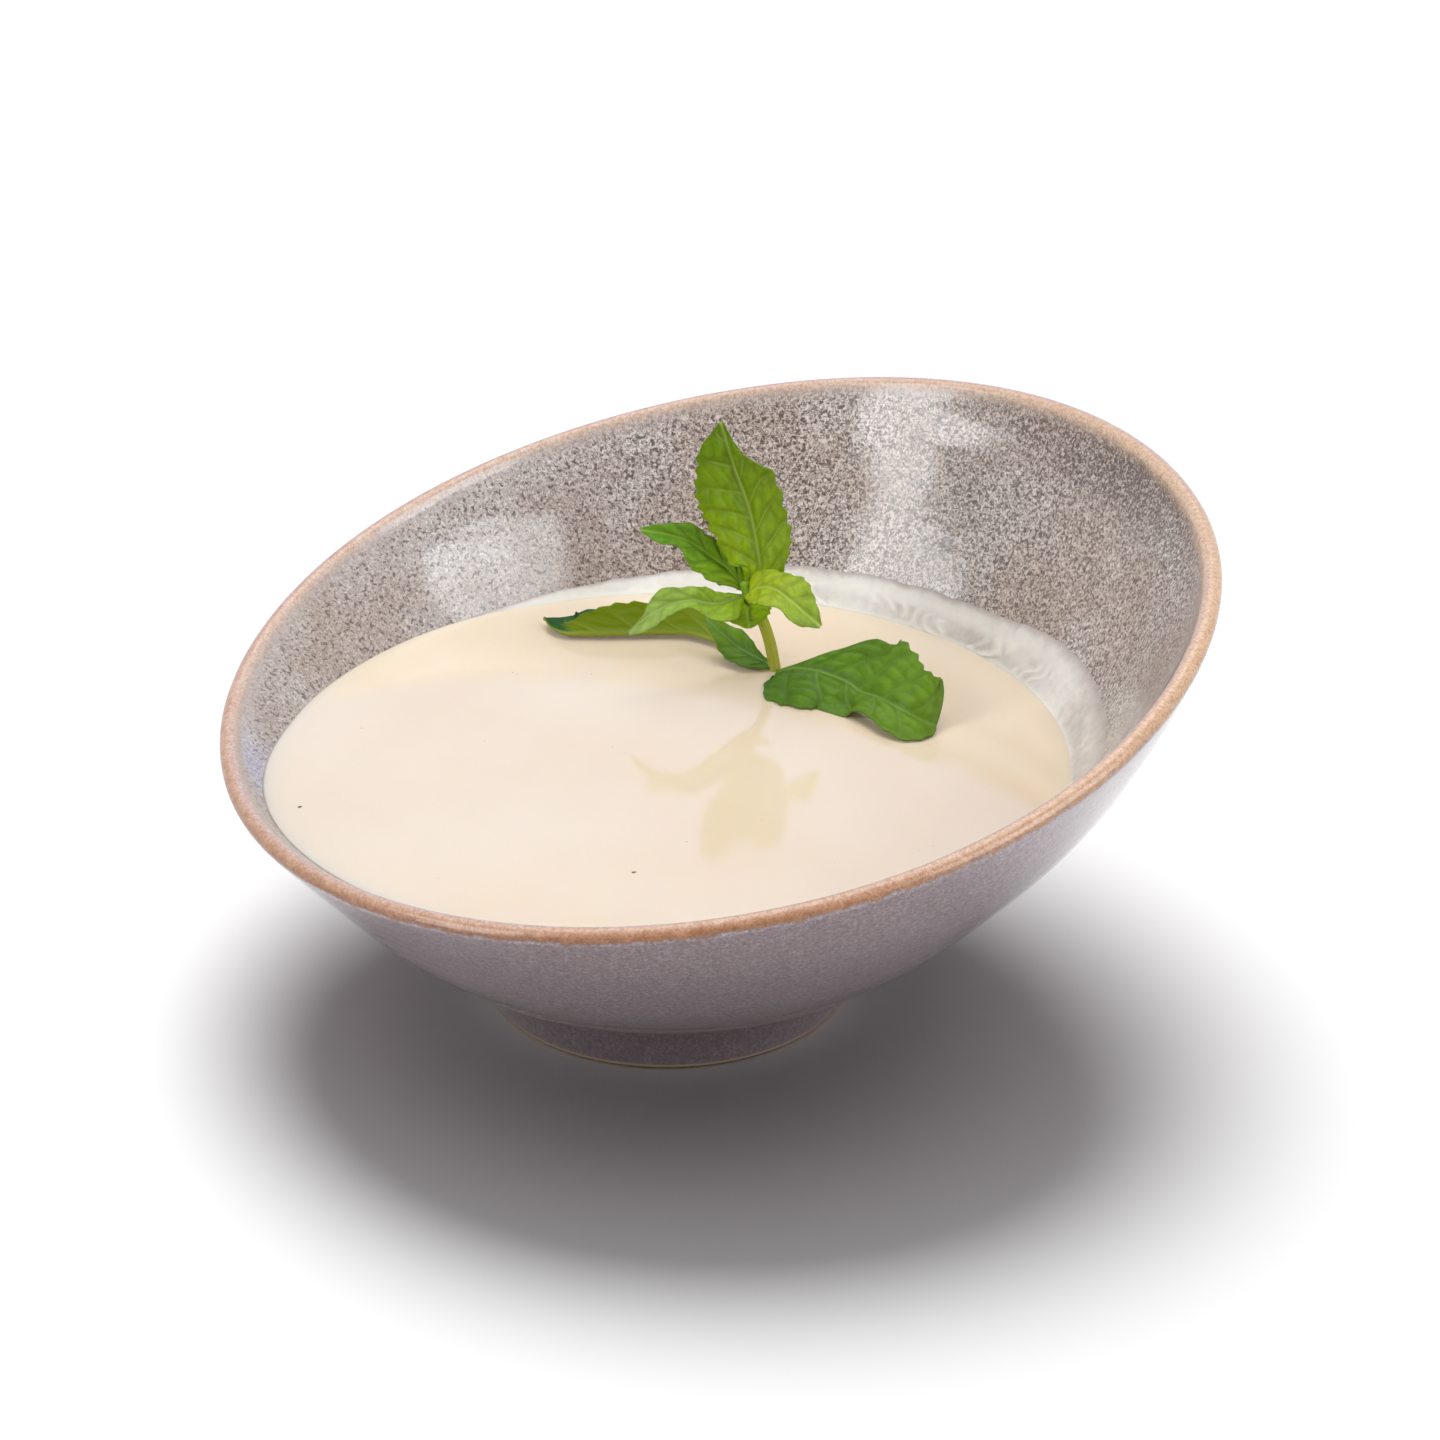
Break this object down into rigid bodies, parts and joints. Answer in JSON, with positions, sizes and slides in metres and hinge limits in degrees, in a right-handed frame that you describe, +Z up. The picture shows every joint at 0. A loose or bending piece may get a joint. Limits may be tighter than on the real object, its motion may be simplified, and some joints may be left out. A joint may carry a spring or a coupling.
{
  "type": "bowl of tahini sauce",
  "caption": "Slanted stoneware bowl on a turned foot, filled with pale sesame sauce almost to its low side, with a mint sprig standing in it.",
  "frame": {"origin": "middle of the outline on the plane that the foot stands on", "axes": "+Z up out of the foot, +Y towards the high side of the rim, +X to the right when looking at the high side from the low side"},
  "size_m": [0.1779, 0.1758, 0.094],
  "materials": {
    "stoneware_glaze": "glossy speckled mushroom-grey reactive glaze that breaks to tan on the rim",
    "tahini_sauce": "smooth wet cream-coloured sauce, softly glossy and slightly translucent",
    "mint_leaf": "fresh green leaf with pale veins, semi-matte with small highlights"
  },
  "bodies": {
    "root": {"bowl": "stoneware_glaze", "sauce": "tahini_sauce", "mint_sprig": "mint_leaf"}
  },
  "joints": []
}
